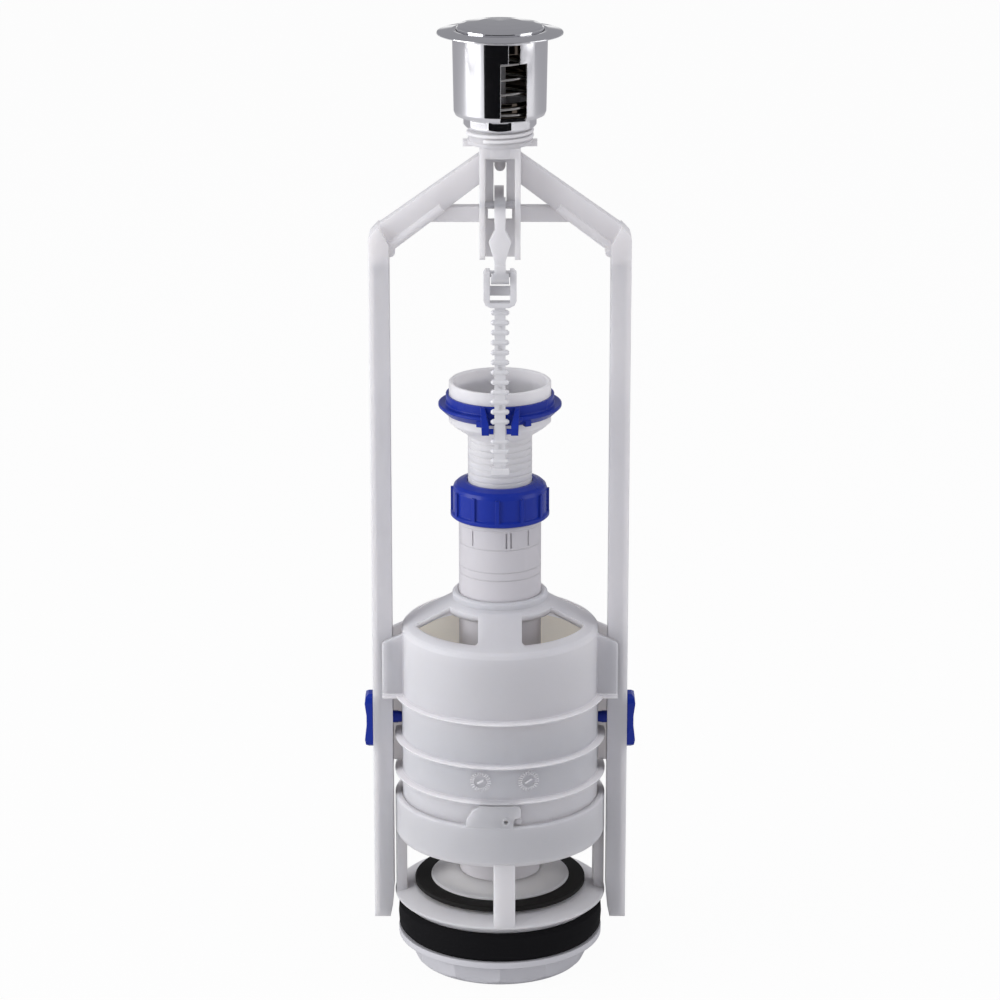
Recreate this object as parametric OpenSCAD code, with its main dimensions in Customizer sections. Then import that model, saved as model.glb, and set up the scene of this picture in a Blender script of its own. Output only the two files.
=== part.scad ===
// Toilet flush valve: push button, bow with rocker, overflow tube, drum and seat.
// Millimetres, +Z up, the outlet stub stands on z = 0, the front faces -Y.

/* [Outlet] */
// outer radius of the threaded outlet stub
stub_r = 29.8; // [28.4:0.2:31]
// radius of the outlet bore
bore_r = 25.4; // [23.4:0.2:26]
// wall of the ring nut at the corners of its foot
nut_wall = 5.9; // [5.2:0.1:7]
// height of the ring nut
nut_h = 12.8; // [11:0.2:16]
// height of the tank gasket
gasket_h = 12; // [11:0.5:16]

/* [Seat basket] */
// radius of the seat flange, which sets collar, drum and leg spacing
seat_r = 43.1; // [42:0.1:46]
// thickness of the seat flange
seat_t = 3.1; // [2.5:0.1:4]
// free height of the four pillars
pillar_h = 23.3; // [20:0.1:30]
// height of the basket collar
collar_h = 17.7; // [16:0.1:20]
// width of a pillar
pillar_w = 8.6; // [6:0.2:10]

/* [Drum] */
// height of the straight drum wall
drum_h = 81.5; // [80:0.5:90]
// rise of the dome over the wall
dome_h = 16.5; // [14:0.5:18]
// half width of the four dome spokes
spoke_half = 8.7; // [6:0.1:10]
// wall thickness of the drum
drum_wall = 2.2; // [1.6:0.1:2.6]
// height of the lock pins above the foot of the drum
pin_up = 47.2; // [44:0.2:50]
// height of the float cup
float_h = 30; // [26:0.5:34]

/* [Tubes] */
// outer radius of the lower tube
tube_r = 16.5; // [16:0.1:17.4]
// length of the lower tube above the drum neck
tube_up = 40; // [36:0.5:50]
// free length of the overflow tube above the clamp nut
over_up = 41; // [38:0.5:46]
// radius of the overflow mouth
rim_r = 20.3; // [19.4:0.1:21]

/* [Bow] */
// width of a bow leg
leg_w = 8; // [7:0.1:9]
// depth of the bow legs
bow_d = 12; // [11:0.5:14]
// half width of the tower
tower_half = 8; // [7.6:0.1:9]
// height of the tower plate above the overflow mouth
tower_up = 95.8; // [92:0.2:104]

/* [Button] */
// outer radius of the button housing
house_r = 18.5; // [18:0.1:19.5]
// height of the button housing under its flange
house_h = 32.2; // [29:0.2:34]
// radius of the lid flange
flange_r = 24.5; // [22:0.1:27]
// radius of the push rod
rod_r = 2.2; // [1.8:0.1:2.4]

/* [Hidden] */
$fn = 96;
gap = 0.3;
touch = 0.1;
// heights of the seat
nut_z = 1;
nut_top = nut_z + nut_h;
flange_step = 3;
seat_z = nut_top + touch + gasket_h + flange_step;
seat_top = seat_z + seat_t;
collar_z = seat_top + pillar_h;
collar_top = collar_z + collar_h;
tab_top = collar_top + 9;
gasket_r = seat_r - 1.4;
nut_r = stub_r + nut_wall;
collar_r = seat_r - 0.3;
// valve
valve_z = seat_top + 1.1;
washer_t = 2.3;
washer_r = bore_r + 9.5;
disc_r = bore_r + 2.9;
disc_z = valve_z + washer_t + touch;
// drum
drum_r = collar_r - 2.9;
drum_z = collar_z + 2.1;
dome_z = drum_z + drum_h;
ridge_r = seat_r - 0.3;
neck_r = tube_r + 2.65;
neck_z = dome_z + dome_h;
neck_top = neck_z + 4;
ridge_z = [tab_top + 1.2, tab_top + 16.2, tab_top + 34.6];
// tubes
over_r = tube_r - 3.7;
tube_top = neck_top + tube_up;
clamp_z = tube_top - 8.4;
clamp_top = tube_top + 6.1;
rim_z = clamp_top + over_up;
// strap
rib_half = 3.6;
rib_r = 1.1;
core_half = 2.15;
core_d = 1.5;
strap_y = -(rim_r + 3.9);
claw_in = 5.4;
foot_r = 1.15;
clip_z = rim_z - 14.1;
// bow
leg_in = seat_r + 0.4;
leg_out = leg_in + leg_w;
leg_z = seat_z - 9.9;
plate_z = rim_z + tower_up;
corner_z = plate_z - 35;
tower_z = plate_z - 43.9;
arm_top = plate_z - 4.1;
arm_low = plate_z - 15.8;
arm_slope = (arm_top - corner_z) / (leg_out - tower_half);
low_slope = arm_slope + 0.05;
arm_d = 6;
stay_z = plate_z - 31;
stay_top = plate_z - 25;
stay_x = tower_half + (arm_low - stay_z) / low_slope;
pin_z = drum_z + pin_up;
wing_z = ridge_z[2] + 0.9;
// rocker
pivot_y = -8;
pivot_drop = 22.9;
pivot_z = plate_z - pivot_drop;
hook_y = strap_y;
hook_z = plate_z - 46.4;
bar_r = 1.3;
// button
stub_top = plate_z + 17;
house_z = plate_z + 10.9;
flange_z = house_z + house_h;
house_in = house_r - 1.2;
button_r = house_in - 0.3;
sleeve_r = house_in - 3.4;
thread_r = sleeve_r - 1.6;

// Height of the lower and upper edge of the slanted bow arm at distance x from the axis.
function arm_lower(x) = arm_low - low_slope * (x - tower_half);
function arm_upper(x) = arm_top - arm_slope * (x - tower_half);

// A plain tube from z0 to z1.
module pipe(z0, z1, r_out, r_in) {
    translate([0, 0, z0])
        difference() {
            cylinder(h = z1 - z0, r = r_out);
            translate([0, 0, -1])
                cylinder(h = z1 - z0 + 2, r = r_in);
        }
}

// A flat outline in the X-Z plane, extruded along Y about y = 0.
module slab_xz(depth) {
    rotate([90, 0, 0])
        linear_extrude(height = depth, center = true)
            children();
}

// A flat outline in the Y-Z plane, extruded along X from x0 to x1.
module slab_yz(x0, x1) {
    translate([x0, 0, 0])
        rotate([90, 0, 90])
            linear_extrude(height = x1 - x0)
                children();
}

// Basket: outlet stub, seat flange with lip, four pillars, collar and two bayonet tabs.
module seat_basket() {
    color("whitesmoke")
        difference() {
            union() {
                rotate_extrude()
                    polygon([[bore_r, 0], [stub_r - 0.6, 0], [stub_r, 0.6],
                        [stub_r, seat_z - flange_step], [gasket_r - 2.4, seat_z - flange_step],
                        [gasket_r - 2.2, seat_z], [seat_r - 0.3, seat_z], [seat_r, seat_z + 0.3],
                        [seat_r, seat_z + 0.7], [seat_r - 0.5, seat_z + 1.1],
                        [washer_r + 0.4, seat_top], [bore_r + 4, seat_top],
                        [bore_r + 3, seat_top + 1], [bore_r + 1.4, seat_top + 1],
                        [bore_r + 0.6, seat_top], [bore_r + 0.6, seat_z - 4.4],
                        [bore_r, seat_z - 5]]);
                rotate_extrude()
                    polygon([[drum_r - 2.6, collar_z], [collar_r - 2.4, collar_z],
                        [collar_r - 0.7, collar_z + 0.7], [collar_r, collar_z + 2.4],
                        [collar_r, collar_top - 0.6], [collar_r - 0.6, collar_top],
                        [drum_r + gap, collar_top], [drum_r + gap, collar_z + 2],
                        [drum_r - 2.6, collar_z + 2]]);
                for (a = [2.4 : 90 : 360])
                    rotate([0, 0, a])
                        basket_pillar();
                for (a = [0, 180])
                    rotate([0, 0, a])
                        basket_tab();
                translate([2.4, -collar_r + 1.8, collar_top + 2.4])
                    rotate([90, 0, 0])
                        cylinder(h = 2, r = 1.7);
            }
            translate([2.4, -collar_r + 4, collar_top + 2.4])
                rotate([90, 0, 0])
                    cylinder(h = 8, r = 0.8);
        }
}

module basket_pillar() {
    intersection() {
        pipe(seat_z + 0.6, collar_z + 1.5, collar_r - 0.1, collar_r - 4.3);
        translate([-pillar_w / 2, -seat_r - 1, seat_z])
            cube([pillar_w, seat_r, pillar_h + 8]);
    }
}

// Hooked tab: slanted on its left, with a notch that opens to the right.
module basket_tab() {
    intersection() {
        pipe(collar_top - 1, tab_top, collar_r - 0.2, drum_r + gap);
        translate([0, -collar_r + 6, 0])
            slab_xz(14)
                polygon([[-14, collar_top - 2], [-13.4, collar_top + 2.4], [-11, collar_top + 6.6],
                    [-7.6, tab_top], [6.6, tab_top], [7.5, tab_top - 0.25], [8.1, tab_top - 0.9],
                    [8.4, tab_top - 1.8], [8.4, collar_top + 5], [8, collar_top + 4.2],
                    [7.2, collar_top + 3.8], [6, collar_top + 3.6], [5.4, collar_top + 2.6],
                    [5.4, collar_top - 2]]);
    }
}

// Thick soft gasket between the seat flange and the tank floor.
module tank_gasket() {
    low = nut_top + touch;
    top = seat_z - flange_step - touch;
    color("black")
        rotate_extrude()
            polygon([[stub_r + touch, low], [gasket_r - 1.6, low], [gasket_r - 0.2, low + 1.6],
                [gasket_r + 0.1, (low + top) / 2], [gasket_r - 0.2, top - 1.4],
                [gasket_r - 1.4, top], [stub_r + touch, top]]);
}

// Nut under the tank floor: round flange on a twelve-sided tapered body.
module ring_nut() {
    color("white")
        difference() {
            union() {
                translate([0, 0, nut_top - 2.6])
                    cylinder(h = 2.6, r = gasket_r);
                nut_body();
            }
            translate([0, 0, -1])
                cylinder(h = nut_top + 2, r = stub_r + gap);
        }
}

module nut_body() {
    difference() {
        translate([0, 0, nut_z])
            rotate([0, 0, 30])
                cylinder(h = nut_h - 1, r1 = nut_r, r2 = nut_r + 2.6, $fn = 12);
        rotate([0, 0, 11])
            rotate_extrude()
                polygon([[nut_r - 2.8, nut_z - 1], [nut_r + 6, nut_z - 1], [nut_r + 6, nut_z + 7.8]]);
    }
}

// Drum: wall with three ridges, domed top with four spokes, neck, guide wings and lugs.
module drum() {
    color("white")
        difference() {
            union() {
                drum_shell();
                for (z = ridge_z)
                    rotate_extrude()
                        polygon([[drum_r - 0.8, z - 0.8], [ridge_r, z - 0.4], [ridge_r, z + 0.15],
                            [drum_r + 0.6, z + 0.6], [drum_r - 0.8, z + 1.5]]);
                for (m = [0, 1])
                    mirror([m, 0, 0])
                        drum_wings();
                for (a = [0, 180])
                    rotate([0, 0, a])
                        drum_lug();
            }
            drum_windows();
            for (a = [0, 180])
                rotate([0, 0, a])
                    translate([drum_r - 4, 0, pin_z])
                        rotate([0, 90, 0])
                            cylinder(h = 8, r = 2.8);
        }
}

module drum_shell() {
    inner_r = drum_r - drum_wall;
    rotate_extrude()
        polygon([[inner_r, drum_z], [drum_r, drum_z], [drum_r, dome_z + 4],
            [drum_r - 0.4, dome_z + 5.4], [drum_r - 1.4, dome_z + 6.5],
            [neck_r + 1.2, neck_z + 0.2], [neck_r, neck_z + 1.2], [neck_r, neck_top - 0.8],
            [neck_r - 0.8, neck_top], [tube_r + 0.5, neck_top], [tube_r + 0.5, neck_z - 2.8],
            [neck_r + 1.2, neck_z - 2.3], [inner_r - 1.2, dome_z + 5.1], [inner_r, dome_z + 3.4]]);
}

module drum_windows() {
    translate([0, 0, dome_z - 2])
        linear_extrude(height = dome_h + 3)
            difference() {
                circle(r = drum_r - 4.6);
                circle(r = neck_r + 2.9);
                square([2 * drum_r, 2 * spoke_half], center = true);
                square([2 * spoke_half, 2 * drum_r], center = true);
                for (a = [0 : 90 : 270], m = [0, 1])
                    rotate(a)
                        mirror([m, 0])
                            window_corner();
            }
}

// Rounding of a window corner between a spoke and the outer edge.
module window_corner() {
    round_r = 1.7;
    mid_x = spoke_half + round_r - 0.1;
    mid_y = round_r - 0.1 - sqrt(pow(drum_r - 4.6, 2) - pow(mid_x, 2));
    difference() {
        translate([spoke_half - 0.5, -drum_r])
            square([mid_x - spoke_half + 0.5, mid_y + drum_r]);
        translate([mid_x, mid_y])
            circle(r = round_r);
    }
}

// Two plates on each side between which a bow leg runs: a short one in front and a long one behind.
module drum_wings() {
    for (s = [-1, 1])
        translate([0, s * (bow_d / 2 + gap + 1.1), 0]) {
            foot = s > 0 ? ridge_z[0] + 0.3 : wing_z;
            slab_xz(2.2)
                polygon([[drum_r - 1.8, foot], [leg_out - 4, foot],
                    [leg_out - 4, wing_z + 21.2], [leg_out - 5, wing_z + 22.2],
                    [drum_r - 0.6, wing_z + 25.4], [drum_r - 1.8, wing_z + 25.4]]);
            translate([drum_r - 1.8, s > 0 ? -1.1 : -2.4, wing_z - 1.6])
                cube([leg_out - drum_r - 2.2, 3.5, 1.7]);
        }
}

module drum_lug() {
    intersection() {
        pipe(collar_top + 0.5, collar_top + 2.9, drum_r + 1, drum_r - 1);
        translate([6.4, -collar_r - 1, collar_top])
            cube([2.2, 10, 4]);
    }
}

// Snap pin: pad on the outside of a leg, shank through the leg, cone in the drum wall.
module lock_pin_right() {
    color("royalblue")
        lock_pin();
}

module lock_pin_left() {
    color("royalblue")
        mirror([1, 0, 0])
            lock_pin();
}

module lock_pin() {
    translate([0, 0, pin_z]) {
        intersection() {
            slab_yz(leg_out + touch, leg_out + 4)
                polygon([[-2.6, -11.8], [2.6, -11.8], [4.4, -10.6], [5, -8.6], [5, 7.4], [4.4, 9.4],
                    [2.6, 10.6], [-2.6, 10.6], [-4.4, 9.4], [-5, 7.4], [-5, -8.6], [-4.4, -10.6]]);
            slab_xz(12)
                polygon([[leg_out, -12], [leg_out + 1.6, -12], [leg_out + 3, -10.8],
                    [leg_out + 3.4, -8.4], [leg_out + 2.7, -3], [leg_out + 2.7, 2],
                    [leg_out + 3.4, 7.2], [leg_out + 3, 9.6], [leg_out + 1.6, 10.8],
                    [leg_out, 10.8]]);
        }
        translate([drum_r + 1.6, 0, 0])
            rotate([0, 90, 0])
                cylinder(h = leg_out - drum_r - 1, r = 2.5);
        translate([drum_r - 1.8, 0, 0])
            rotate([0, 90, 0])
                cylinder(h = 3.5, r1 = 1.9, r2 = 2.4);
    }
}

// Shallow cone on the foot of the lower tube, grooved for the washer.
module valve_disc() {
    color("white")
        rotate_extrude()
            polygon([[tube_r + touch, valve_z - 3], [bore_r - 1.4, valve_z - 3],
                [bore_r - 0.8, valve_z - 2.4], [bore_r - 0.8, valve_z - touch],
                [bore_r - 2.4, valve_z - touch], [bore_r - 2.4, disc_z], [disc_r, disc_z],
                [disc_r, disc_z + 0.4], [disc_r - 0.5, disc_z + 0.8],
                [tube_r + 0.6, disc_z + 3.4], [tube_r + touch, disc_z + 3.6]]);
}

// Black washer that closes on the seat lip.
module seal_washer() {
    color("black")
        rotate_extrude()
            polygon([[bore_r - 2.3, valve_z], [washer_r - 0.5, valve_z],
                [washer_r, valve_z + 0.5], [washer_r, valve_z + washer_t - 0.5],
                [washer_r - 0.5, valve_z + washer_t], [bore_r - 2.3, valve_z + washer_t]]);
}

// Upside-down cup on the lower tube: the trapped air keeps the valve up while it drains.
module float_cup() {
    float_r = drum_r - drum_wall - 2;
    float_z = drum_z + 24;
    float_top = float_z + float_h;
    color("white")
        rotate_extrude()
            polygon([[float_r - 1.6, float_z], [float_r, float_z], [float_r, float_top - 2],
                [float_r - 2, float_top], [tube_r + 2, float_top], [tube_r + 2, float_top + 3],
                [tube_r + touch, float_top + 3], [tube_r + touch, float_top - 6],
                [tube_r + 2, float_top - 6], [tube_r + 2, float_top - 1.6],
                [float_r - 2.6, float_top - 1.6], [float_r - 1.6, float_top - 2.6]]);
}

// Lower tube: plain wall with three ring lines, two guide rings inside, slits under the nut.
module lower_tube() {
    z0 = valve_z - 3;
    guide = over_r + gap;
    wall_in = tube_r - 2;
    lines = [neck_top + 8.2, neck_top + 11.5, neck_top + 21];
    color("white")
        difference() {
            rotate_extrude()
                polygon([[wall_in, z0], [tube_r, z0], [tube_r, clamp_z - 2.6], [tube_r + 0.4, clamp_z - 2.2],
                    [tube_r + 0.4, clamp_z - 0.8], [tube_r, clamp_z - 0.6], [tube_r, tube_top],
                    [guide, tube_top],
                    [guide, tube_top - 12], [wall_in, tube_top - 13],
                    [wall_in, neck_top - 2], [guide, neck_top - 3], [guide, neck_top - 7],
                    [wall_in, neck_top - 8]]);
            for (z = lines)
                rotate_extrude()
                    polygon([[tube_r - 0.25, z + 0.25], [tube_r + 1, z - 0.6],
                        [tube_r + 1, z + 1.1]]);
            for (a = [-41, 9, 15.5, 43, 139, 189, 195.5, 223])
                rotate([0, 0, a])
                    translate([-0.3, -tube_r - 1, clamp_z - 9.4])
                        cube([0.6, 2, 6.2]);
        }
}

// Seal ring on the end of the lower tube, pressed on the overflow tube by the clamp nut.
module tube_seal() {
    color("black")
        pipe(tube_top + touch, tube_top + 3, tube_r - 0.4, over_r + touch);
}

// Ribbed nut over the end of the lower tube.
module clamp_nut() {
    nut_out = tube_r + 2.4;
    color("royalblue")
        union() {
            rotate_extrude()
                polygon([[tube_r + gap, clamp_z], [nut_out + 0.4, clamp_z], [nut_out + 0.9, clamp_z + 0.5],
                    [nut_out + 0.9, clamp_z + 1.7], [nut_out, clamp_z + 2.3],
                    [nut_out, clamp_top - 3.4], [nut_out - 0.5, clamp_top - 1.9],
                    [nut_out - 1.6, clamp_top - 0.9], [over_r + 1.6, clamp_top],
                    [over_r + gap, clamp_top], [over_r + gap, clamp_top - 2.6],
                    [tube_r + gap, clamp_top - 2.6]]);
            for (a = [-3 : 30 : 330])
                rotate([0, 0, a])
                    translate([-0.8, -nut_out - 0.8, clamp_z + 1])
                        cube([1.6, 1.6, clamp_top - clamp_z - 4.2]);
        }
}

// Overflow tube with a flared mouth and ring grooves.
module upper_tube() {
    wall = 1.5;
    lines = [for (i = [0 : 6]) clamp_top + 1.4 + 2.6 * i];
    color("white")
        difference() {
            rotate_extrude()
                polygon([[over_r - wall, neck_top - 6], [over_r, neck_top - 6], [over_r, rim_z - 22.2],
                    [over_r + 0.5, rim_z - 21.4], [rim_r - 1.8, rim_z - 17.8], [rim_r, rim_z - 16.2],
                    [rim_r, rim_z - 0.4], [rim_r - 0.4, rim_z], [rim_r - 1, rim_z],
                    [rim_r - wall, rim_z - 0.5], [rim_r - wall, rim_z - 15.6],
                    [rim_r - wall - 1.2, rim_z - 16.7], [over_r - wall + 0.6, rim_z - 20.2],
                    [over_r - wall, rim_z - 21]]);
            for (z = lines)
                rotate_extrude()
                    polygon([[over_r - 0.3, z], [over_r - 0.3, z + 0.5], [over_r + 1, z + 1.1],
                        [over_r + 1, z - 0.6]]);
        }
}

// Blue ring around the mouth: upright collar, thin flange with a conical underside, nubs and two claws.
module strap_ring() {
    color("royalblue")
        union() {
            difference() {
                rotate_extrude()
                    polygon([[rim_r + 0.2, rim_z - 12.6], [rim_r + 1.4, rim_z - 12.6],
                        [rim_r + 4.2, rim_z - 9.9], [rim_r + 4.2, rim_z - 9.1],
                        [rim_r + 3.7, rim_z - 8.8], [rim_r + 1.5, rim_z - 8.9],
                        [rim_r + 1.2, rim_z - 8.5], [rim_r + 1.2, rim_z - 5.1],
                        [rim_r + 0.2, rim_z - 5.1]]);
                translate([-claw_in, -rim_r - 11, rim_z - 20])
                    cube([2 * claw_in, 10, 20]);
            }
            for (a = [-20, 28, 160, 208])
                rotate([0, 0, a])
                    translate([-1.3, -rim_r - 3.4, rim_z - 13])
                        cube([2.6, 2.2, 2.4]);
            for (m = [0, 1])
                mirror([m, 0, 0])
                    ring_claw();
        }
}

// Claw that leans in to the strap, with a round foot at the strap's core, where the strap tilts.
module ring_claw() {
    intersection() {
        slab_yz(claw_in - 1.1, claw_in + 2.3)
            polygon([[-rim_r + 0.3, rim_z - 5.3], [-rim_r - 1.4, rim_z - 5.3],
                [strap_y - 1.4, clip_z + 1.4], [strap_y - 1.4, clip_z - 1.3],
                [strap_y + 1.6, clip_z - 1.3], [-rim_r + 0.3, rim_z - 9.4]]);
        slab_xz(4 * rim_r)
            polygon([[claw_in + 0.6, rim_z - 5], [claw_in + 2.3, rim_z - 5], [claw_in + 1.7, clip_z - 2],
                [claw_in - 1.1, clip_z - 2], [claw_in - 1.1, clip_z + 2.5]]);
    }
    translate([core_half + 0.35, strap_y, clip_z])
        rotate([0, 90, 0])
            cylinder(h = claw_in - core_half, r = foot_r);
}

// Flat strap with round cross ribs, an end block below and a loop with a round bar on top.
module lift_strap() {
    pitch = 4;
    low = clip_z - 4 * pitch;
    loop_z = hook_z - 11.2;
    ribs = floor((loop_z - 4 - clip_z) / pitch);
    color("white")
        union() {
            translate([0, strap_y, 0]) {
                translate([-core_half, -core_d / 2, low])
                    cube([2 * core_half, core_d, loop_z - low - 0.5]);
                translate([-3.7, -1.7, low - 1.4])
                    cube([7.4, 3.4, 2.8]);
                for (i = [-3 : ribs])
                    if (i != 0)
                        translate([0, 0, clip_z + pitch * i])
                            strap_rib();
            }
            strap_loop(loop_z);
        }
}

module strap_rib() {
    rotate([0, 90, 0])
        cylinder(h = 2 * rib_half - 1.4, r = rib_r, center = true, $fn = 32);
    for (a = [90, -90])
        rotate([0, a, 0])
            translate([0, 0, rib_half - 0.8])
                cylinder(h = 0.8, r1 = rib_r, r2 = rib_r - 0.6, $fn = 32);
}

module strap_loop(loop_z) {
    translate([0, strap_y, 0]) {
        slab_xz(5)
            polygon([[-3.6, loop_z - 1.9], [3.6, loop_z - 1.9], [5.6, loop_z - 0.9], [6.4, loop_z + 0.9],
                [6.4, hook_z + 0.4], [5.2, hook_z + bar_r + 0.3], [3.9, hook_z + bar_r + 0.3],
                [3.9, loop_z], [-3.9, loop_z], [-3.9, hook_z + bar_r + 0.3],
                [-5.6, hook_z + bar_r + 0.3], [-6.4, hook_z + 0.4], [-6.4, loop_z + 0.9],
                [-5.6, loop_z - 0.9]]);
        translate([-5, 0, hook_z])
            rotate([0, 90, 0])
                cylinder(h = 10, r = bar_r);
        translate([-4.5, 1.1, loop_z + 2.2])
            cube([9, 1.4, 3.6]);
    }
}

// Bow: threaded stub, eared plate, tower with windows, slanted arms, stays and legs.
module bow_frame() {
    color("whitesmoke")
        difference() {
            union() {
                for (m = [0, 1])
                    mirror([m, 0, 0])
                        bow_side();
                bow_tower();
                bow_head();
            }
            translate([0, 0, tower_z - 1])
                cylinder(h = stub_top - tower_z + 2, r = rod_r + 0.5);
            translate([0, 0, plate_z + 6])
                cylinder(h = 20, r = thread_r - 2.6);
            translate([-tower_half - 1, pivot_y, pivot_z])
                rotate([0, 90, 0])
                    cylinder(h = 2 * tower_half + 2, r = 1.55);
            for (a = [0, 180])
                rotate([0, 0, a])
                    translate([leg_in - 1, 0, pin_z])
                        rotate([0, 90, 0])
                            cylinder(h = leg_w + 2, r = 2.8);
        }
}

// Leg with a channel on its inner side, slanted arm with a round rib, stay and peg.
module bow_side() {
    difference() {
        slab_xz(bow_d)
            polygon([[leg_in + 1.6, leg_z], [leg_out, leg_z], [leg_out, corner_z - 3],
                [leg_out - 0.6, corner_z - 0.8], [leg_out - 2, corner_z + 0.8],
                [leg_out - 4, arm_upper(leg_out - 4)], [leg_in, arm_lower(leg_in) + 3],
                [leg_in, leg_z + 11], [leg_in + 0.6, leg_z + 5]]);
        translate([leg_in - 1, -bow_d / 2 + 2.2, leg_z - 1])
            cube([leg_w - 1, bow_d - 4.4, arm_lower(leg_in) - leg_z - 4]);
    }
    slab_xz(arm_d)
        polygon([[leg_in + 1, arm_lower(leg_in + 1)], [leg_out - 3, arm_upper(leg_out - 3) - 2],
            [leg_out - 4.2, arm_upper(leg_out - 4.2)], [tower_half - 1, arm_upper(tower_half - 1)],
            [tower_half - 1, arm_lower(tower_half - 1)]]);
    slab_xz(arm_d - 1)
        polygon([[tower_half - 1, stay_z], [stay_x, stay_z], [stay_x + 3, stay_top],
            [tower_half - 1, stay_top]]);
    for (s = [-1, 1])
        translate([leg_in + 1, s * (arm_d / 2 - 0.4), arm_lower(leg_in + 1) + 1.7])
            rotate([0, -90 + atan(low_slope), 0])
                cylinder(h = (leg_in - stay_x + 6.4) / cos(atan(low_slope)), r = 1.9, $fn = 32);
    translate([leg_in - 0.4, 0, arm_lower(leg_in)])
        rotate([90, 0, 0])
            cylinder(h = arm_d + 2, r = 2, center = true, $fn = 32);
}

// Tower: two side walls and a recessed front web with two windows.
module bow_tower() {
    wall_in = tower_half - 2.2;
    difference() {
        translate([-tower_half, -12, tower_z])
            cube([2 * tower_half, 20, plate_z - tower_z]);
        translate([-wall_in, -13, tower_z - 1])
            cube([2 * wall_in, 6.5, plate_z - tower_z - 3]);
        translate([-wall_in, -4.5, tower_z - 1])
            cube([2 * wall_in, 13, plate_z - tower_z - 3]);
        translate([-2.5, -13, pivot_z - 4])
            cube([5, 22, plate_z - 6.4 - pivot_z + 4]);
        translate([-4.7, -13, plate_z - 29.1])
            cube([9.4, 22, 5.4]);
    }
}

// Round block over the tower, disc with two ears, and the plain core of the screw stub.
module bow_head() {
    intersection() {
        translate([0, 0, plate_z - 4])
            cylinder(h = 6, r = 12.6);
        translate([-tower_half, -20, plate_z - 5])
            cube([2 * tower_half, 40, 10]);
    }
    translate([0, 0, plate_z + 0.2])
        cylinder(h = 1.4, r = 12.8);
    translate([-14.5, -2.6, plate_z - 0.9])
        cube([29, 5.2, 2]);
    translate([0, 0, plate_z + 1])
        cylinder(h = stub_top - plate_z - 1, r = thread_r);
}

// Rocker: hub on the pin, pad under the push rod, arm with shoulders and a hook.
module rocker() {
    color("whitesmoke")
        difference() {
            union() {
                translate([-2.2, pivot_y, pivot_z])
                    rotate([0, 90, 0])
                        cylinder(h = 4.4, r = 3);
                slab_yz(-2.2, 1.5)
                    polygon([[pivot_y - 0.5, pivot_z + 2.2], [-3, pivot_z + 3.3], [4.5, pivot_z + 5],
                        [4.5, pivot_z + 2.2], [-1, pivot_z - 1], [pivot_y, pivot_z - 2.4]]);
                intersection() {
                    rocker_side();
                    rocker_front();
                }
            }
            translate([-5, pivot_y, pivot_z])
                rotate([0, 90, 0])
                    cylinder(h = 10, r = 1.8);
        }
}

module rocker_side() {
    slab_yz(-6, 6) {
        polygon([[pivot_y - 1.7, pivot_z + 1.7], [hook_y - 3.9, hook_z + 4], [hook_y - 3.9, hook_z + 2],
            [hook_y - 1.7, hook_z + 2], [hook_y - 1.7, hook_z + 4], [pivot_y + 1.7, pivot_z - 1.7]]);
        translate([hook_y, hook_z])
            polygon([[-1.7, 3], [-1.7, -1.1], [-1.1, -1.7], [1.8, -1.7], [2.4, -1.1], [2.4, -0.2],
                [4.2, -0.2], [4.2, -2.4], [2.9, -3.7], [-2.2, -3.7], [-3.9, -2.2], [-3.9, 3]]);
    }
}

// Front outline of the rocker: slim at the pin, shouldered, with a broad hook end.
module rocker_front() {
    reach = rim_r + 40;
    translate([0, -reach / 3, 0])
        slab_xz(reach)
            polygon([[-3.5, hook_z - 6], [3.5, hook_z - 6], [3.5, hook_z + 0.6], [2.2, hook_z + 1],
                [2.2, hook_z + 5.5], [4.3, hook_z + 11.5], [2, hook_z + 15.5], [2.2, hook_z + 19],
                [2.2, pivot_z + 4], [-2.2, pivot_z + 4], [-2.2, hook_z + 19], [-2, hook_z + 15.5],
                [-4.3, hook_z + 11.5], [-2.2, hook_z + 5.5], [-2.2, hook_z + 1],
                [-3.5, hook_z + 0.6]]);
}

// Cross pin of the tower, on which the rocker turns.
module rocker_pin() {
    color("whitesmoke")
        translate([-tower_half, pivot_y, pivot_z])
            rotate([0, 90, 0])
                cylinder(h = 2 * tower_half, r = 1.5);
}

// Plain rod with a round tip, plugged into the button.
module push_rod() {
    color("whitesmoke")
        rotate_extrude()
            polygon([[0, plate_z - 11.3], [rod_r * 0.5, plate_z - 11], [rod_r * 0.85, plate_z - 10.2],
                [rod_r, plate_z - 9.1], [rod_r, flange_z - 0.8], [0, flange_z - 0.8]]);
}

// Ten-sided grip under the housing, with a plain neck through the housing floor.
module threaded_sleeve() {
    color("silver")
        difference() {
            union() {
                intersection() {
                    translate([0, 0, plate_z + 6.4])
                        cylinder(h = house_z - plate_z - 6.5, r = sleeve_r + 0.3, $fn = 10);
                    rotate([0, 0, 11])
                        translate([0, 0, plate_z + 6.4])
                            cylinder(h = 6, r1 = sleeve_r - 1, r2 = sleeve_r + 6);
                }
                translate([0, 0, house_z - 0.6])
                    cylinder(h = 7.6, r = sleeve_r);
            }
            translate([0, 0, plate_z])
                cylinder(h = 40, r = thread_r + touch);
        }
}

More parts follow.
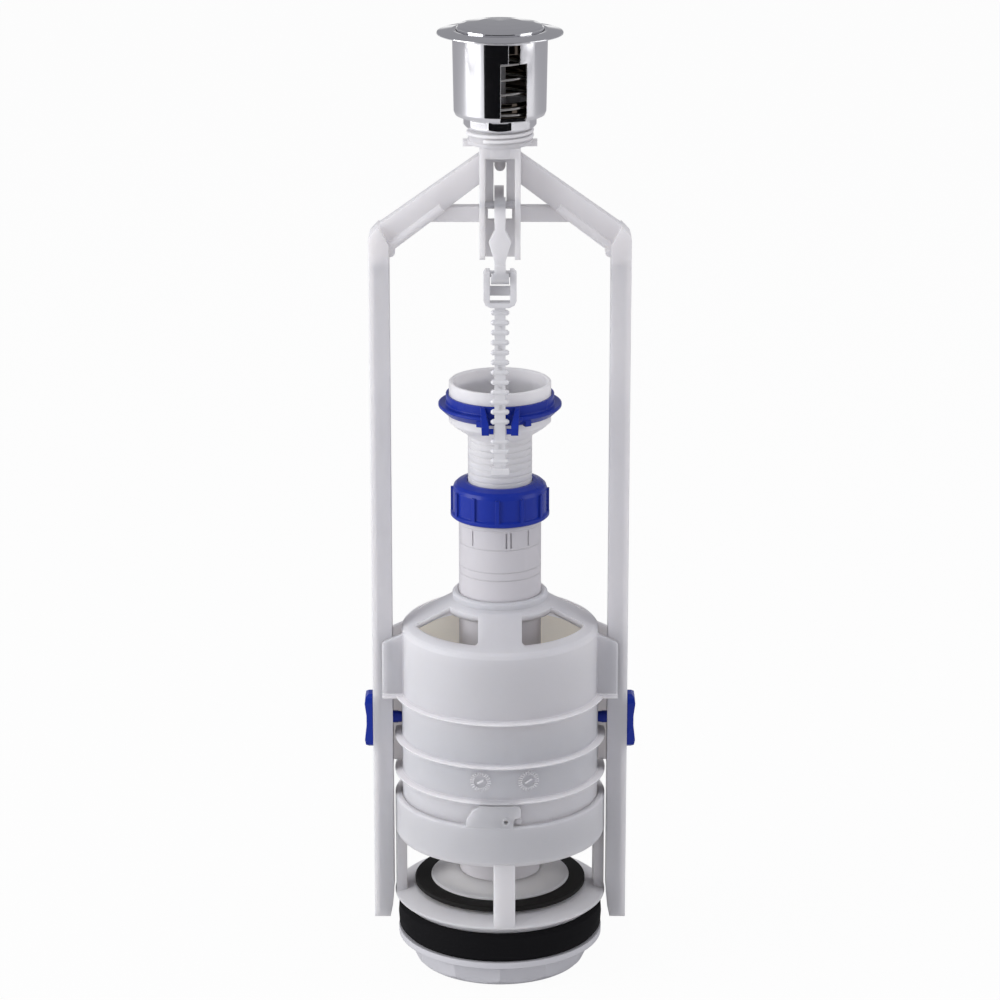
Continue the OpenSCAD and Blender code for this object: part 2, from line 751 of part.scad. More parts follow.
// Cup with floor, thin lid flange and two slots.
module button_housing() {
    color("silver")
        difference() {
            rotate_extrude()
                polygon([[sleeve_r + touch, house_z], [house_r - 2.4, house_z],
                    [house_r - 1.1, house_z + 0.6], [house_r - 0.5, house_z + 2],
                    [house_r, flange_z - 1.4], [flange_r, flange_z], [flange_r, flange_z + 0.4],
                    [house_in + 1.4, flange_z + 1.5], [house_in, flange_z + 1.3],
                    [house_in, house_z + 2], [sleeve_r + touch, house_z + 2]]);
            for (a = [17.7, 197.7])
                rotate([0, 0, a]) {
                    translate([-2.35, -house_r - 2, house_z + 16])
                        cube([4.7, 5, house_h - 17.8]);
                    translate([-5.25, -house_r - 2, house_z - 1])
                        cube([10.5, 5, 24]);
                }
        }
}

// Compression spring around the sleeve neck, under the button.
module button_spring() {
    z0 = house_z + 2.1;
    long = flange_z - 0.3 - z0;
    turns = 5;
    mid = sleeve_r + 0.9;
    arc = 60;
    sector = concat([for (a = [0 : 15 : arc]) [(mid + 0.5) * cos(a), (mid + 0.5) * sin(a)]],
        [for (a = [arc : -15 : 0]) [(mid - 0.5) * cos(a), (mid - 0.5) * sin(a)]]);
    color("gray")
        translate([0, 0, z0])
            linear_extrude(height = long, twist = -360 * turns, slices = 120, $fn = 10)
                polygon(sector);
}

// Domed cap with a short skirt and a socket for the rod.
module push_button() {
    color("silver")
        rotate_extrude()
            polygon([[0, flange_z + 4.6], [button_r * 0.5, flange_z + 4.3],
                [button_r * 0.8, flange_z + 3.7], [button_r - 0.7, flange_z + 3],
                [button_r, flange_z + 2.2], [button_r, flange_z - 5.6], [button_r - 1, flange_z - 5.6],
                [button_r - 1, flange_z - 0.2], [rod_r + 2, flange_z - 0.2],
                [rod_r + 2, flange_z - 5], [rod_r + touch, flange_z - 5],
                [rod_r + touch, flange_z - 0.7], [0, flange_z - 0.7]]);
}

seat_basket();
tank_gasket();
ring_nut();
drum();
lock_pin_left();
lock_pin_right();
valve_disc();
seal_washer();
float_cup();
lower_tube();
tube_seal();
clamp_nut();
upper_tube();
strap_ring();
lift_strap();
bow_frame();
rocker();
rocker_pin();
push_rod();
threaded_sleeve();
button_housing();
button_spring();
push_button();
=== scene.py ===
"""Looks of a toilet flush valve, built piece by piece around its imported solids."""
import math

import bmesh
import bpy
from mathutils import Matrix, Vector


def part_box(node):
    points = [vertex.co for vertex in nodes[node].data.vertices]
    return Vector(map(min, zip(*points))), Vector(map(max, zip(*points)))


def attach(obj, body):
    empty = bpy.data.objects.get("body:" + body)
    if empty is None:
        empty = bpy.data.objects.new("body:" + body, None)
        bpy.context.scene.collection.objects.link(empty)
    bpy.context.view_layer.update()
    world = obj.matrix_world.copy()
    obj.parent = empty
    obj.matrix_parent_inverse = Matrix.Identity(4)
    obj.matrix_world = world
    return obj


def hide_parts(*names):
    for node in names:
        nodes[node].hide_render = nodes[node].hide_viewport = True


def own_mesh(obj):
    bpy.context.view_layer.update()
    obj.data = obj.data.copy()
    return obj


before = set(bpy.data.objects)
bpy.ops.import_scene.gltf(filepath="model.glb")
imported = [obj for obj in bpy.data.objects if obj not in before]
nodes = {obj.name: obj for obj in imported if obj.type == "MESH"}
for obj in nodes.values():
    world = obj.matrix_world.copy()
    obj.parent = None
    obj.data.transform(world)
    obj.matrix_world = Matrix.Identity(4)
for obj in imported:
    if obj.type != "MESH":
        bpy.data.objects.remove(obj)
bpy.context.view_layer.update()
scene = bpy.context.scene
scene.view_settings.view_transform = "Standard"

# Studio
# A long lens looks down a little on the valve's front. A tall soft box stands on each side, one
# hangs overhead, and the room is plain white paper under a ceiling that chrome shows darker.
CAMERA_PITCH = math.radians(17.3)
CAMERA_AWAY = 1.520
CAMERA_AIM = Vector((0.0, 0.0, 0.19684))
lens = bpy.data.cameras.new("lens")
lens.lens = 136.8
lens.sensor_width = 36.0
camera = bpy.data.objects.new("camera", lens)
CAMERA_SIDE = Vector((0, -math.cos(CAMERA_PITCH), math.sin(CAMERA_PITCH)))
camera.location = CAMERA_AIM + CAMERA_AWAY * CAMERA_SIDE
camera.rotation_euler = (math.pi / 2 - CAMERA_PITCH, 0, 0)
scene.collection.objects.link(camera)
scene.camera = camera


def soft_box(name, place, aim, wide, tall, power, mirrored=True):
    """A flat lamp at place that faces aim; chrome shows it only where mirrored is true."""
    lamp = bpy.data.lights.new(name, "AREA")
    lamp.shape = "RECTANGLE"
    lamp.size = wide
    lamp.size_y = tall
    lamp.energy = power
    holder = bpy.data.objects.new(name, lamp)
    holder.location = place
    holder.rotation_euler = (Vector(aim) - Vector(place)).to_track_quat("-Z", "Y").to_euler()
    holder.visible_glossy = mirrored
    scene.collection.objects.link(holder)


soft_box("soft_box_left", (-1.60, -0.58, 0.72), (0, 0, 0.72), 1.4, 1.4, 25.0)
soft_box("soft_box_right", (1.64, -0.46, 0.72), (0, 0, 0.72), 1.1, 1.4, 8.2)
soft_box("soft_box_top", (0.1, -0.4, 1.7), (0, 0, 0.2), 1.1, 1.1, 4.5, mirrored=False)
room = bpy.data.worlds.new("white_room")
scene.world = room
room.use_nodes = True
air = room.node_tree
air.nodes.clear()
room_out = air.nodes.new("ShaderNodeOutputWorld")
paper = air.nodes.new("ShaderNodeBackground")
paper.inputs["Strength"].default_value = 1.0
fill = air.nodes.new("ShaderNodeBackground")
fill.inputs["Color"].default_value = (0.94, 0.93, 1.0, 1)
fill.inputs["Strength"].default_value = 0.51
ray = air.nodes.new("ShaderNodeLightPath")
seen = air.nodes.new("ShaderNodeMath")
seen.operation = "MAXIMUM"
bounced = air.nodes.new("ShaderNodeMath")
bounced.operation = "MAXIMUM"
pick = air.nodes.new("ShaderNodeMixShader")
heading = air.nodes.new("ShaderNodeTexCoord")
split = air.nodes.new("ShaderNodeSeparateXYZ")
ceiling = air.nodes.new("ShaderNodeValToRGB")
ceiling.color_ramp.elements[0].position = 0.02
ceiling.color_ramp.elements[0].color = (1, 1, 1, 1)
ceiling.color_ramp.elements[1].position = 0.12
ceiling.color_ramp.elements[1].color = (0.32, 0.32, 0.34, 1)
overhead = air.nodes.new("ShaderNodeMix")
overhead.data_type = "RGBA"
overhead.inputs["A"].default_value = (1, 1, 1, 1)
air.links.new(heading.outputs["Generated"], split.inputs["Vector"])
air.links.new(split.outputs["Z"], ceiling.inputs["Fac"])
air.links.new(ceiling.outputs["Color"], overhead.inputs["B"])
air.links.new(ray.outputs["Is Glossy Ray"], overhead.inputs["Factor"])
air.links.new(overhead.outputs["Result"], paper.inputs["Color"])
air.links.new(ray.outputs["Is Camera Ray"], seen.inputs[0])
air.links.new(ray.outputs["Is Glossy Ray"], seen.inputs[1])
air.links.new(seen.outputs["Value"], bounced.inputs[0])
air.links.new(ray.outputs["Is Transmission Ray"], bounced.inputs[1])
air.links.new(bounced.outputs["Value"], pick.inputs["Fac"])
air.links.new(fill.outputs["Background"], pick.inputs[1])
air.links.new(paper.outputs["Background"], pick.inputs[2])
air.links.new(pick.outputs["Shader"], room_out.inputs["Surface"])

# Floor
# A wide sheet of white paper under the valve. It shows white to the camera and keeps a faint shadow
# of the object.
FLOOR_HALF = 12.0
WHITE_SHARE = 0.96
floor_mesh = bpy.data.meshes.new("floor")
sheet = bmesh.new()
bmesh.ops.create_grid(sheet, x_segments=1, y_segments=1, size=FLOOR_HALF)
sheet.to_mesh(floor_mesh)
sheet.free()
floor = bpy.data.objects.new("floor", floor_mesh)
scene.collection.objects.link(floor)
paper_floor = bpy.data.materials.new("paper_floor")
paper_floor.use_nodes = True
ink = paper_floor.node_tree
ink.nodes.clear()
floor_out = ink.nodes.new("ShaderNodeOutputMaterial")
matte = ink.nodes.new("ShaderNodeBsdfDiffuse")
matte.inputs["Color"].default_value = (0.7, 0.7, 0.7, 1)
glow = ink.nodes.new("ShaderNodeEmission")
floor_ray = ink.nodes.new("ShaderNodeLightPath")
floor_seen = ink.nodes.new("ShaderNodeMath")
floor_seen.operation = "MULTIPLY"
floor_seen.inputs[1].default_value = WHITE_SHARE
floor_mix = ink.nodes.new("ShaderNodeMixShader")
ink.links.new(floor_ray.outputs["Is Camera Ray"], floor_seen.inputs[0])
ink.links.new(floor_seen.outputs["Value"], floor_mix.inputs["Fac"])
ink.links.new(matte.outputs["BSDF"], floor_mix.inputs[1])
ink.links.new(glow.outputs["Emission"], floor_mix.inputs[2])
ink.links.new(floor_mix.outputs["Shader"], floor_out.inputs["Surface"])
floor_mesh.materials.append(paper_floor)

# Dark card
# A low black card between the camera and the valve, under the view. Chrome shows it as the dark
# band down its front; it takes no part in the light on the plastic.
CARD_SIZE = (1.64, 0.8, 1)
CARD_PLACE = (0, -1.0, 0.02)
card_mesh = bpy.data.meshes.new("dark_card")
card_sheet = bmesh.new()
bmesh.ops.create_grid(card_sheet, x_segments=1, y_segments=1, size=0.5)
bmesh.ops.scale(card_sheet, verts=card_sheet.verts, vec=CARD_SIZE)
upright = Matrix.Rotation(math.pi / 2, 3, "X")
bmesh.ops.rotate(card_sheet, verts=card_sheet.verts, cent=(0, 0, 0), matrix=upright)
bmesh.ops.translate(card_sheet, verts=card_sheet.verts, vec=CARD_PLACE)
card_sheet.to_mesh(card_mesh)
card_sheet.free()
dark_card = bpy.data.objects.new("dark_card", card_mesh)
scene.collection.objects.link(dark_card)
dark_card.visible_camera = False
dark_card.visible_diffuse = False
dark_card.visible_transmission = False
dark_card.visible_shadow = False
black_felt = bpy.data.materials.new("black_felt")
black_felt.use_nodes = True
felt_shader = black_felt.node_tree.nodes["Principled BSDF"]
felt_shader.inputs["Base Color"].default_value = (0.008, 0.008, 0.009, 1)
felt_shader.inputs["Roughness"].default_value = 1.0
felt_shader.inputs["Specular IOR Level"].default_value = 0.0
card_mesh.materials.append(black_felt)

# Ring nut
# Twelve-sided white polypropylene nut under the tank floor, injection moulded. Its skin has a very
# fine orange peel and slow flow marks, which all the mouldings share.
MM = 0.001
skin = bpy.data.node_groups.new("moulded_skin", "ShaderNodeTree")
for label, value in (("Light", 0.9), ("Dark", 0.85)):
    socket = skin.interface.new_socket(label, in_out="INPUT", socket_type="NodeSocketColor")
    socket.default_value = (value, value, value, 1)
for label, value in (("Flow Scale", 30.0), ("Peel Scale", 2500.0),
                     ("Rough Low", 0.3), ("Rough High", 0.4)):
    socket = skin.interface.new_socket(label, in_out="INPUT", socket_type="NodeSocketFloat")
    socket.default_value = value
skin.interface.new_socket("Color", in_out="OUTPUT", socket_type="NodeSocketColor")
skin.interface.new_socket("Roughness", in_out="OUTPUT", socket_type="NodeSocketFloat")
skin.interface.new_socket("Height", in_out="OUTPUT", socket_type="NodeSocketFloat")
skin_in = skin.nodes.new("NodeGroupInput")
skin_out = skin.nodes.new("NodeGroupOutput")
skin_place = skin.nodes.new("ShaderNodeTexCoord")
flow = skin.nodes.new("ShaderNodeTexNoise")
flow.inputs["Detail"].default_value = 3.0
flow.inputs["Distortion"].default_value = 0.6
peel = skin.nodes.new("ShaderNodeTexNoise")
peel.inputs["Detail"].default_value = 2.0
tone = skin.nodes.new("ShaderNodeMix")
tone.data_type = "RGBA"
gloss = skin.nodes.new("ShaderNodeMapRange")
skin.links.new(skin_place.outputs["Object"], flow.inputs["Vector"])
skin.links.new(skin_place.outputs["Object"], peel.inputs["Vector"])
skin.links.new(skin_in.outputs["Flow Scale"], flow.inputs["Scale"])
skin.links.new(skin_in.outputs["Peel Scale"], peel.inputs["Scale"])
skin.links.new(flow.outputs["Fac"], tone.inputs["Factor"])
skin.links.new(skin_in.outputs["Dark"], tone.inputs["A"])
skin.links.new(skin_in.outputs["Light"], tone.inputs["B"])
skin.links.new(flow.outputs["Fac"], gloss.inputs["Value"])
skin.links.new(skin_in.outputs["Rough Low"], gloss.inputs["To Min"])
skin.links.new(skin_in.outputs["Rough High"], gloss.inputs["To Max"])
skin.links.new(tone.outputs["Result"], skin_out.inputs["Color"])
skin.links.new(gloss.outputs["Result"], skin_out.inputs["Roughness"])
skin.links.new(peel.outputs["Fac"], skin_out.inputs["Height"])


def moulding(name, light, dark, rough, milk=0.0, deep=8.0, shine=0.5, edge=0.5, peel_depth=0.02,
             peel_scale=2500.0):
    """A moulded plastic or rubber. Milk is the share of light that wanders under its skin, and deep
    says how far it goes; edge is the rounding of its corners. Both are in millimetres."""
    made = bpy.data.materials.new(name)
    made.use_nodes = True
    tree = made.node_tree
    shader = tree.nodes["Principled BSDF"]
    surface = tree.nodes.new("ShaderNodeGroup")
    surface.node_tree = skin
    surface.inputs["Light"].default_value = (*light, 1)
    surface.inputs["Dark"].default_value = (*dark, 1)
    surface.inputs["Rough Low"].default_value = rough[0]
    surface.inputs["Rough High"].default_value = rough[1]
    surface.inputs["Peel Scale"].default_value = peel_scale
    dimple = tree.nodes.new("ShaderNodeBump")
    dimple.inputs["Strength"].default_value = peel_depth
    dimple.inputs["Distance"].default_value = 0.2 * MM
    soft_edge = tree.nodes.new("ShaderNodeBevel")
    soft_edge.samples = 6
    soft_edge.inputs["Radius"].default_value = edge * MM
    shader.inputs["Specular IOR Level"].default_value = shine
    shader.inputs["Subsurface Weight"].default_value = milk
    shader.inputs["Subsurface Radius"].default_value = (1.0, 0.95, 0.88)
    shader.inputs["Subsurface Scale"].default_value = deep * MM
    tree.links.new(surface.outputs["Color"], shader.inputs["Base Color"])
    tree.links.new(surface.outputs["Roughness"], shader.inputs["Roughness"])
    tree.links.new(surface.outputs["Height"], dimple.inputs["Height"])
    tree.links.new(soft_edge.outputs["Normal"], dimple.inputs["Normal"])
    tree.links.new(dimple.outputs["Normal"], shader.inputs["Normal"])
    return made


def dress(node, material):
    """Give a solid of the frame its material."""
    nodes[node].data.materials.clear()
    nodes[node].data.materials.append(material)


nut_white = moulding("nut_white", (0.60, 0.60, 0.63), (0.57, 0.57, 0.60), (0.32, 0.42), shine=0.3)
dress("ring_nut", nut_white)

# Tank gasket
# Thick soft rubber ring, cut from a moulded tube; matte black with a dusty, slightly open skin.
soft_black = moulding("soft_black", (0.008, 0.008, 0.009), (0.004, 0.004, 0.005), (0.75, 0.9),
                      shine=0.1, peel_depth=0.25, peel_scale=1800.0)
dress("tank_gasket", soft_black)

# Seat basket
# Milky natural polypropylene: outlet stub, seat flange, four pillars, collar and bayonet tabs in
# one moulding. Light wanders in the wall, so it looks softer than the nut below it.
milky = moulding("milky", (0.73, 0.715, 0.73), (0.69, 0.675, 0.69), (0.30, 0.40),
                 milk=0.8, deep=20.0, shine=0.3)
dress("seat_basket", milky)

# Valve disc and washer
# White cone on the foot of the lower tube, with a thin black washer snapped in its groove.
tube_white = moulding("tube_white", (0.64, 0.625, 0.65), (0.60, 0.585, 0.61), (0.30, 0.40),
                      milk=0.3, shine=0.3)
washer_black = moulding("washer_black", (0.014, 0.013, 0.012), (0.008, 0.008, 0.008), (0.55, 0.7),
                        shine=0.15, peel_depth=0.15, peel_scale=2200.0)
disc_white = moulding("disc_white", (0.95, 0.94, 0.94), (0.93, 0.92, 0.92), (0.30, 0.40),
                      milk=0.6, deep=14.0, shine=0.3)
dress("valve_disc", disc_white)
dress("seal_washer", washer_black)

# Float cup
# Thin white cup upside down on the lower tube, inside the drum.
dress("float_cup", tube_white)

# Lower tube
# White tube with ring lines and collet slits; it slides in the neck of the drum.
dress("lower_tube", tube_white)

# Drum
# White bell with dome spokes, ridges and guide wings. Inside the bell its colour is painted a warm
# beige: painted light, as from light coming through the wall. Its thin ridges are painted darker:
# painted shade.
# The mould leaves two round dials of plain ticks on the front.
drum_white = moulding("drum_white", (0.91, 0.88, 0.92), (0.88, 0.85, 0.89), (0.36, 0.46),
                      milk=0.9, deep=20.0, shine=0.3)
drum_marks = moulding("drum_marks", (0.79, 0.78, 0.80), (0.75, 0.74, 0.76), (0.36, 0.46),
                      shine=0.3, edge=0.1)
dress("drum", drum_white)
DRUM_R = 39.9 * MM
WALL_MIDDLE = 38.6 * MM
RIDGE_FOOT = 40.4 * MM
DOME_Z = 137.0 * MM
BELOW_ALL = -1.0
hollow = bpy.data.node_groups.new("inside_shell", "ShaderNodeTree")
for label in ("Radius", "Floor", "Roof"):
    hollow.interface.new_socket(label, in_out="INPUT", socket_type="NodeSocketFloat")
for label in ("Inside", "Reach"):
    hollow.interface.new_socket(label, in_out="OUTPUT", socket_type="NodeSocketFloat")
hollow_in = hollow.nodes.new("NodeGroupInput")
hollow_out = hollow.nodes.new("NodeGroupOutput")
hollow_place = hollow.nodes.new("ShaderNodeTexCoord")
flat = hollow.nodes.new("ShaderNodeVectorMath")
flat.operation = "MULTIPLY"
flat.inputs[1].default_value = (1, 1, 0)
from_axis = hollow.nodes.new("ShaderNodeVectorMath")
from_axis.operation = "LENGTH"
above = hollow.nodes.new("ShaderNodeSeparateXYZ")
in_wall = hollow.nodes.new("ShaderNodeMath")
in_wall.operation = "LESS_THAN"
under_roof = hollow.nodes.new("ShaderNodeMath")
under_roof.operation = "LESS_THAN"
over_floor = hollow.nodes.new("ShaderNodeMath")
over_floor.operation = "GREATER_THAN"
between = hollow.nodes.new("ShaderNodeMath")
between.operation = "MULTIPLY"
inside = hollow.nodes.new("ShaderNodeMath")
inside.operation = "MULTIPLY"
hollow.links.new(hollow_place.outputs["Object"], flat.inputs[0])
hollow.links.new(flat.outputs["Vector"], from_axis.inputs[0])
hollow.links.new(hollow_place.outputs["Object"], above.inputs["Vector"])
hollow.links.new(from_axis.outputs["Value"], in_wall.inputs[0])
hollow.links.new(hollow_in.outputs["Radius"], in_wall.inputs[1])
hollow.links.new(above.outputs["Z"], under_roof.inputs[0])
hollow.links.new(hollow_in.outputs["Roof"], under_roof.inputs[1])
hollow.links.new(above.outputs["Z"], over_floor.inputs[0])
hollow.links.new(hollow_in.outputs["Floor"], over_floor.inputs[1])
hollow.links.new(under_roof.outputs["Value"], between.inputs[0])
hollow.links.new(over_floor.outputs["Value"], between.inputs[1])
hollow.links.new(in_wall.outputs["Value"], inside.inputs[0])
hollow.links.new(between.outputs["Value"], inside.inputs[1])
hollow.links.new(inside.outputs["Value"], hollow_out.inputs["Inside"])
hollow.links.new(from_axis.outputs["Value"], hollow_out.inputs["Reach"])


def hollow_mask(tree, radius, low, high):
    """Place the inside mask of a round shell in a material, between two heights."""
    made = tree.nodes.new("ShaderNodeGroup")
    made.node_tree = hollow
    made.inputs["Radius"].default_value = radius
    made.inputs["Floor"].default_value = low
    made.inputs["Roof"].default_value = high
    return made


def turn_colour(tree, mask, colour, other):
    """Turn a colour into another one where a mask says so."""
    made = tree.nodes.new("ShaderNodeMix")
    made.data_type = "RGBA"
    made.inputs["B"].default_value = (*other, 1)
    tree.links.new(mask, made.inputs["Factor"])
    tree.links.new(colour, made.inputs["A"])
    return made.outputs["Result"]


shell = drum_white.node_tree
shell_skin = next(node for node in shell.nodes if node.type == "GROUP")
# Painted light: a warm beige inside the bell stands in for light coming through the wall.
in_bell = hollow_mask(shell, WALL_MIDDLE, BELOW_ALL, DOME_Z)
# Painted shade: the ridges get a darker colour than the wall, against the light they catch.
on_ridge = shell.nodes.new("ShaderNodeMath")
on_ridge.operation = "GREATER_THAN"
on_ridge.inputs[1].default_value = RIDGE_FOOT
shell.links.new(in_bell.outputs["Reach"], on_ridge.inputs[0])
plain = shell_skin.outputs["Color"]
ridge_painted_shade = turn_colour(shell, on_ridge.outputs["Value"], plain, (0.72, 0.70, 0.72))
bell_painted_light = turn_colour(shell, in_bell.outputs["Inside"], ridge_painted_shade, (0.92, 0.78, 0.60))
shell.links.new(bell_painted_light, shell.nodes["Principled BSDF"].inputs["Base Color"])
DIAL_Z = 91.4 * MM
DIAL_PLACES = (-7.8 * MM, 11.4 * MM)
DIAL_TICKS = 22
TICK_R = 3.4 * MM
TICK_SIZE = (0.42 * MM, 0.7 * MM, 1.6 * MM)
POINTER_SIZE = (0.8 * MM, 0.7 * MM, 3.0 * MM)
POINTER_LEAN = math.radians(60)


def bar(mesh, size, turn, place):
    """Add a small bar of a size in the X-Z plane, turned about Y and then moved to its place."""
    made = bmesh.ops.create_cube(mesh, size=1.0)["verts"]
    bmesh.ops.scale(mesh, verts=made, vec=size)
    bmesh.ops.rotate(mesh, verts=made, cent=(0, 0, 0), matrix=Matrix.Rotation(turn, 3, "Y"))
    bmesh.ops.translate(mesh, verts=made, vec=place)


def finish_piece(name, mesh, body, material):
    """Turn a bmesh into a piece that rides on a body and has a slot and a material."""
    bmesh.ops.recalc_face_normals(mesh, faces=mesh.faces)
    data = bpy.data.meshes.new(name)
    mesh.to_mesh(data)
    mesh.free()
    data.materials.append(material)
    piece = bpy.data.objects.new(name, data)
    scene.collection.objects.link(piece)
    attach(piece, body)
    return piece


dials = bmesh.new()
for middle in DIAL_PLACES:
    for tick in range(DIAL_TICKS):
        lean = tick * 2 * math.pi / DIAL_TICKS
        spot = (middle + TICK_R * math.sin(lean), 0, DIAL_Z + TICK_R * math.cos(lean))
        bar(dials, TICK_SIZE, lean, spot)
    bar(dials, POINTER_SIZE, POINTER_LEAN, (middle, 0, DIAL_Z))
for corner in dials.verts:
    corner.co.y -= math.sqrt(DRUM_R ** 2 - corner.co.x ** 2)
finish_piece("drum_dials", dials, "drum_unit", drum_marks)

# Lock pins
# Royal blue snap pins, pushed through the bow legs into the drum wall.
royal_blue = moulding("royal_blue", (0.008, 0.029, 0.33), (0.006, 0.023, 0.28), (0.24, 0.32),
                      shine=0.25)
dress("lock_pin_left", royal_blue)
dress("lock_pin_right", royal_blue)

# Overflow tube and its seal
# White tube with a flared mouth and ring grooves, sealed to the lower tube by a black ring.
bright_white = moulding("bright_white", (0.87, 0.855, 0.865), (0.84, 0.825, 0.835), (0.26, 0.34),
                        milk=0.6, deep=14.0, shine=0.35)
dress("upper_tube", bright_white)
dress("tube_seal", washer_black)

# Clamp nut and strap ring
# Blue ribbed nut that clamps both tubes, and the blue ring under the mouth that carries the strap.
dress("clamp_nut", royal_blue)
dress("strap_ring", royal_blue)

# Lift strap
# Bright white flat strap with round cross ribs and a loop for the rocker's hook. Every second field
# between the ribs has a plain raised number for setting the length.
strap_white = moulding("strap_white", (0.72, 0.72, 0.74), (0.68, 0.68, 0.70), (0.24, 0.32),
                       milk=0.3, shine=0.4, edge=0.3)
dress("lift_strap", strap_white)
STRAP_FRONT = -24.95 * MM
CLAW_Z = 232.4 * MM
RIB_PITCH = 4.0 * MM
NUMBER_FIELDS = (-3.5, -1.5, 2.5, 4.5, 6.5, 8.5, 10.5)
NUMBER_WIDE = 1.1 * MM
NUMBER_TALL = 1.5 * MM
STROKE = 0.3 * MM
STROKES = {"top": (0, 1), "mid": (0, 0), "low": (0, -1), "left_up": (-1, 0.5),
           "left_down": (-1, -0.5), "right_up": (1, 0.5), "right_down": (1, -0.5)}
FLAT_STROKE = (NUMBER_WIDE, STROKE, STROKE)
TALL_STROKE = (STROKE, STROKE, NUMBER_TALL / 2)
NUMBERS = ("right_up right_down", "top right_up mid left_down low",
           "top right_up mid right_down low", "left_up mid right_up right_down",
           "top left_up mid right_down low", "top left_up left_down mid right_down low",
           "top right_up right_down")
numbers = bmesh.new()
for field, digit in zip(NUMBER_FIELDS, NUMBERS):
    for stroke in digit.split():
        across, up = STROKES[stroke]
        stroke_z = CLAW_Z + field * RIB_PITCH + up * NUMBER_TALL / 2
        spot = (across * NUMBER_WIDE / 2, STRAP_FRONT, stroke_z)
        bar(numbers, TALL_STROKE if across else FLAT_STROKE, 0, spot)
finish_piece("strap_numbers", numbers, "strap", strap_white)

# Bow frame
# Milky natural moulding: legs, slanted arms, stays, tower, eared disc and screw stub. The stub's
# round thread is moulded on, and its last turn shows under the chrome sleeve.
dress("bow_frame", milky)
THREAD_R = 12.5 * MM
THREAD_THICK = 0.75 * MM
THREAD_LOW = 344.9 * MM
THREAD_START = math.radians(240)
THREAD_PITCH = 2.0 * MM
THREAD_TURNS = 1.5
THREAD_STEPS = 72


def begin_strand(thick, sides, reach, height, start):
    """Set up the open, selected end of a round strand, at a reach from the axis and an angle."""
    made = bmesh.new()
    bmesh.ops.create_circle(made, segments=sides, radius=thick)
    bmesh.ops.rotate(made, verts=made.verts, cent=(0, 0, 0), matrix=upright)
    bmesh.ops.translate(made, verts=made.verts, vec=(reach, 0, height))
    turned = Matrix.Rotation(start, 3, "Z")
    bmesh.ops.rotate(made, verts=made.verts, cent=(0, 0, 0), matrix=turned)
    for edge in made.edges:
        edge.select = True
    return made


def wind(strand, turns, climb, steps):
    """Wind the open, selected end of a strand on by some turns, rising by climb in each turn."""
    ends = [edge for edge in strand.edges if edge.select and (edge.is_wire or edge.is_boundary)]
    made = bmesh.ops.spin(strand, geom=ends, cent=(0, 0, 0), axis=(0, 0, 1),
                          angle=turns * 2 * math.pi, dvec=(0, 0, climb * turns / steps),
                          steps=steps, use_duplicate=False)
    for edge in strand.edges:
        edge.select = False
    for item in made["geom_last"]:
        if isinstance(item, bmesh.types.BMEdge):
            item.select = True


def close_strand(strand):
    """Fill both ends of a wound strand and shade it smooth."""
    rims = [edge for edge in strand.edges if edge.is_boundary]
    bmesh.ops.holes_fill(strand, edges=rims, sides=0)
    for face in strand.faces:
        face.smooth = True


thread = begin_strand(THREAD_THICK, 8, THREAD_R, THREAD_LOW, THREAD_START)
wind(thread, THREAD_TURNS, THREAD_PITCH, THREAD_STEPS)
close_strand(thread)
# The thread gets a lighter copy of the milky plastic with less light under its skin; part of its
# lightness is painted light against the shade under the chrome sleeve.
thread_milky_painted_lit = moulding("thread_milky_painted_lit", (0.88, 0.87, 0.88), (0.85, 0.84, 0.85), (0.30, 0.40),
                        milk=0.3, deep=3.0, shine=0.3, edge=0.2)
finish_piece("stub_thread", thread, "drum_unit", thread_milky_painted_lit)

# Rocker, its pin and the push rod
# Milky lever on a cross pin in the tower, pushed by the plain rod under the button.
dress("rocker", milky)
dress("rocker_pin", milky)
dress("push_rod", milky)
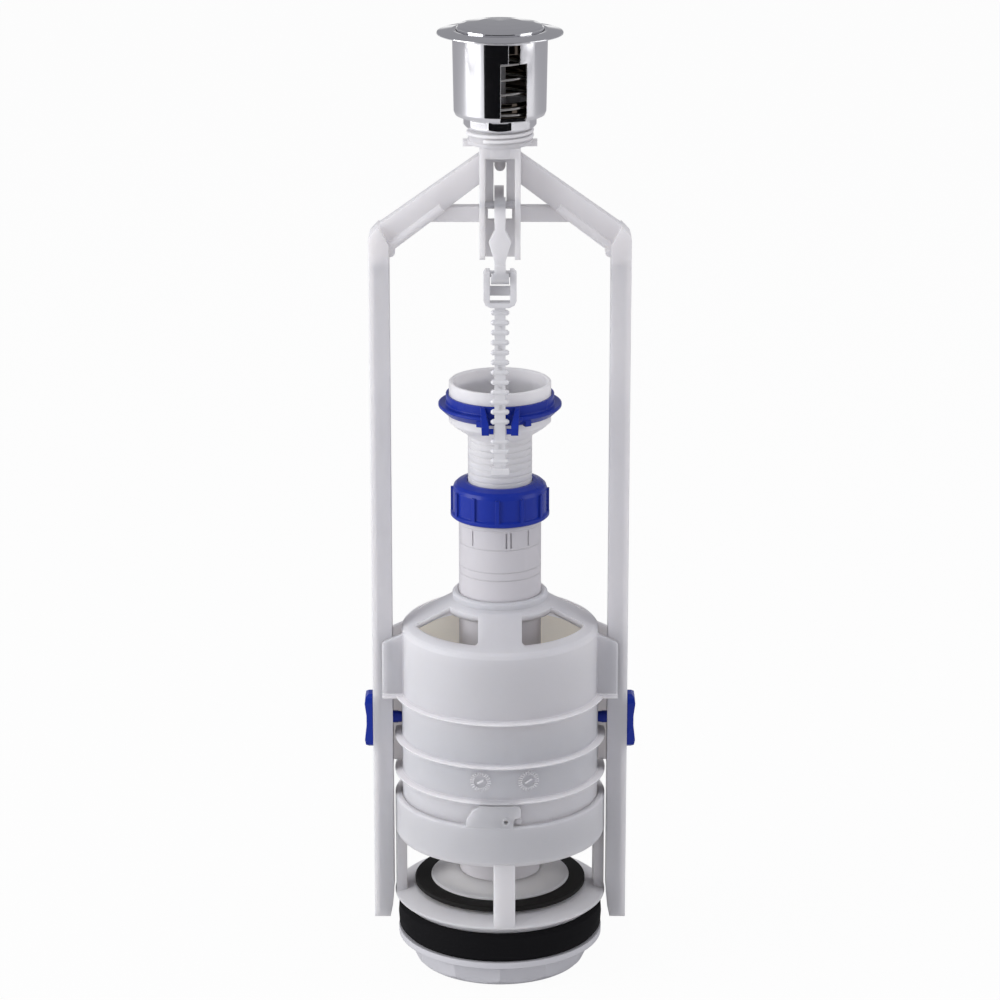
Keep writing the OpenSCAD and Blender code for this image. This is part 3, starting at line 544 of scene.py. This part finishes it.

# Button unit
# Mirror chrome on moulded plastic: housing with lid flange, ten-sided sleeve and domed button.
# Inside the housing the plating is coloured a dull dark brown.
CUP_R = 17.6 * MM
CUP_FLOOR_Z = 354.6 * MM
LID_Z = 384.4 * MM
chrome = bpy.data.materials.new("chrome")
chrome.use_nodes = True
plating = chrome.node_tree
mirror = plating.nodes["Principled BSDF"]
mirror.inputs["Metallic"].default_value = 1.0
haze = plating.nodes.new("ShaderNodeTexNoise")
haze.inputs["Scale"].default_value = 90.0
haze.inputs["Detail"].default_value = 4.0
haze_place = plating.nodes.new("ShaderNodeTexCoord")
haze_range = plating.nodes.new("ShaderNodeMapRange")
haze_range.inputs["To Min"].default_value = 0.04
haze_range.inputs["To Max"].default_value = 0.09
silver = plating.nodes.new("ShaderNodeMix")
silver.data_type = "RGBA"
silver.inputs["A"].default_value = (0.77, 0.77, 0.79, 1)
silver.inputs["B"].default_value = (0.82, 0.82, 0.84, 1)
rounded = plating.nodes.new("ShaderNodeBevel")
rounded.samples = 6
rounded.inputs["Radius"].default_value = 0.35 * MM
plating.links.new(haze_place.outputs["Object"], haze.inputs["Vector"])
plating.links.new(haze.outputs["Fac"], haze_range.inputs["Value"])
plating.links.new(haze.outputs["Fac"], silver.inputs["Factor"])
plating.links.new(haze_range.outputs["Result"], mirror.inputs["Roughness"])
in_cup = hollow_mask(plating, CUP_R, CUP_FLOOR_Z, LID_Z)
housing_inside_colour = turn_colour(plating, in_cup.outputs["Inside"], silver.outputs["Result"], (0.18, 0.15, 0.12))
plating.links.new(housing_inside_colour, mirror.inputs["Base Color"])
plating.links.new(rounded.outputs["Normal"], mirror.inputs["Normal"])
for plated in ("threaded_sleeve", "button_housing", "push_button"):
    dress(plated, chrome)

# Button spring
# Bright steel wire wound around the neck of the sleeve, with a closed coil at each end.
WIRE_R = 0.55 * MM
COIL_R = 14.8 * MM
COIL_TURNS = 7
COIL_START = math.radians(132)
COIL_STEPS = 48
spring_low, spring_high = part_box("button_spring")
rise = (spring_high.z - spring_low.z - 2 * WIRE_R) / (COIL_TURNS - 2)
wire = begin_strand(WIRE_R, 10, COIL_R, spring_low.z + WIRE_R, COIL_START)
wind(wire, 1, 0.0, COIL_STEPS)
wind(wire, COIL_TURNS - 2, rise, COIL_STEPS * (COIL_TURNS - 2))
wind(wire, 1, 0.0, COIL_STEPS)
close_strand(wire)
steel = moulding("spring_steel", (0.55, 0.54, 0.52), (0.42, 0.41, 0.40), (0.22, 0.35))
steel.node_tree.nodes["Principled BSDF"].inputs["Metallic"].default_value = 1.0
dress("button_spring", steel)
wound_spring = finish_piece("wound_spring", wire, "drum_unit", steel)
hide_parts("button_spring")
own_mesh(wound_spring)
